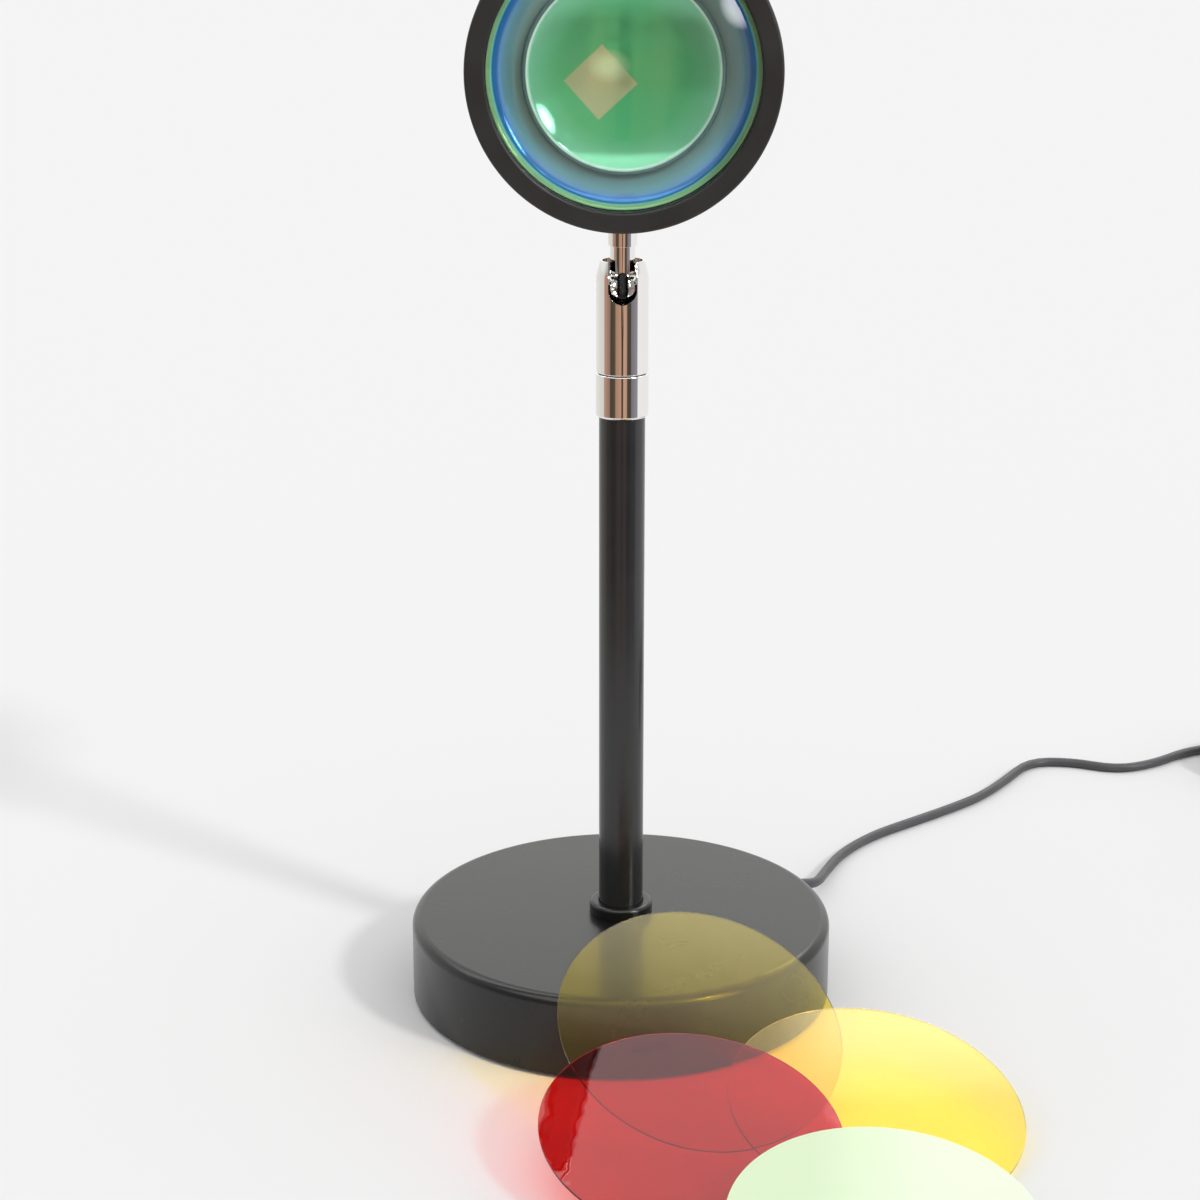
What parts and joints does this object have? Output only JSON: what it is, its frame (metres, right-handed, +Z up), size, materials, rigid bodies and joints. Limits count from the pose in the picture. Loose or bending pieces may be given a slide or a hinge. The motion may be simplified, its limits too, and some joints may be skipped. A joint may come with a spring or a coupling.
{
  "type": "sunset projection lamp",
  "caption": "Desk lamp with a weighted disc base, straight stem, chrome tilting swivel and a round head with a domed lens; loose round colour filters and a coiled USB lead.",
  "frame": {"origin": "centre of the round base on the surface that it stands on", "axes": "+Z up the stem; -Y is the way the lens faces at rest; +X to the right seen from the lens side"},
  "size_m": [0.27, 0.3139, 0.2551],
  "materials": {
    "black_satin": "satin black powder coat",
    "iron_ballast": "raw casting",
    "zinc_steel": "zinc plated",
    "brass_nut": "plain turned brass",
    "black_screw": "black oxide",
    "foot_rubber": "dull black pad",
    "cord_rubber": "smooth dark grey jacket",
    "chrome": "polished chrome plate",
    "black_aluminium": "satin black anodised",
    "black_plastic": "fine matt black moulding",
    "button_plastic": "glossy black moulding",
    "cone_aluminium": "bright spun aluminium",
    "led_white": "white coated board",
    "led_yellow": "yellow light-emitting surface",
    "board_green": "green circuit board",
    "lens_glass": "clear domed glass with a faint green cast",
    "coated_glass": "glass with a colour coating",
    "gasket_rubber": "soft black ring",
    "plug_steel": "nickel plated",
    "plug_white": "white moulding",
    "amber_film": "clear amber sheet",
    "yellow_film": "clear yellow sheet",
    "red_film": "clear red sheet",
    "green_film": "clear pale green sheet"
  },
  "bodies": {
    "base": {"base_shell": "black_satin", "base_weight": "iron_ballast", "base_plate": "zinc_steel", "plate_screws": "zinc_steel", "foot_pad": "foot_rubber", "cord_grommet": "cord_rubber", "nipple": "zinc_steel", "base_washer": "zinc_steel", "base_nut": "zinc_steel", "stem_collar": "black_satin", "stem_tube": "black_satin", "stem_insert": "zinc_steel", "inner_lead": "cord_rubber", "lower_ferrule": "chrome", "spindle": "zinc_steel", "spring_washer": "zinc_steel", "spindle_nut": "brass_nut", "cord_run": "cord_rubber", "cord_coil": "cord_rubber", "cord_lead": "cord_rubber", "cord_tail": "cord_rubber", "switch_base": "black_plastic", "switch_cover": "black_plastic", "switch_board": "board_green", "switch_screws": "zinc_steel", "plug_grip": "black_plastic", "plug_shell": "plug_steel", "plug_tongue": "plug_white"},
    "swivel": {"swivel_sleeve": "chrome", "stop_pin": "zinc_steel", "tilt_pins": "chrome"},
    "head": {"knuckle": "chrome", "neck_ring": "chrome", "neck_nut": "brass_nut", "neck_wires": "cord_rubber", "head_body": "black_aluminium", "light_cone": "cone_aluminium", "led_board": "led_white", "led_emitter": "led_yellow", "board_screws": "zinc_steel", "driver_board": "board_green", "rear_cover": "black_plastic", "cover_screws": "black_screw"},
    "lens_ring": {"front_ring": "black_aluminium", "lens": "lens_glass", "lens_gasket": "gasket_rubber", "coated_glass": "coated_glass", "spring_clip": "zinc_steel"},
    "switch_button": {"switch_button": "button_plastic"},
    "filter_amber": {"filter_amber": "amber_film"},
    "filter_yellow": {"filter_yellow": "yellow_film"},
    "filter_red": {"filter_red": "red_film"},
    "filter_green": {"filter_green": "green_film"}
  },
  "joints": [
    {"name": "swivel", "type": "hinge", "parent": "base", "child": "swivel", "pos_m": [0, 0, 0.1516], "axis": [0, 0, 1], "range_deg": [-165, 165]},
    {"name": "tilt", "type": "hinge", "parent": "swivel", "child": "head", "pos_m": [0, 0, 0.1709], "axis": [1, 0, 0], "range_deg": [-15, 87]},
    {"name": "ring_off", "type": "slide", "parent": "head", "child": "lens_ring", "axis": [0, -0.9986, -0.0523], "range_m": [0, 0.03]},
    {"name": "switch_press", "type": "slide", "parent": "base", "child": "switch_button", "axis": [0, 0, -1], "range_m": [0, 0.0012], "stiffness_N_per_m": 800},
    {"name": "lift_amber", "type": "slide", "parent": "base", "child": "filter_amber", "axis": [0, 0, 1], "range_m": [0, 0.03]},
    {"name": "lift_yellow", "type": "slide", "parent": "filter_amber", "child": "filter_yellow", "axis": [0, 0, 1], "range_m": [0, 0.03]},
    {"name": "lift_red", "type": "slide", "parent": "filter_yellow", "child": "filter_red", "axis": [0, 0, 1], "range_m": [0, 0.03]},
    {"name": "lift_green", "type": "slide", "parent": "filter_red", "child": "filter_green", "axis": [0, 0, 1], "range_m": [0, 0.03]}
  ]
}
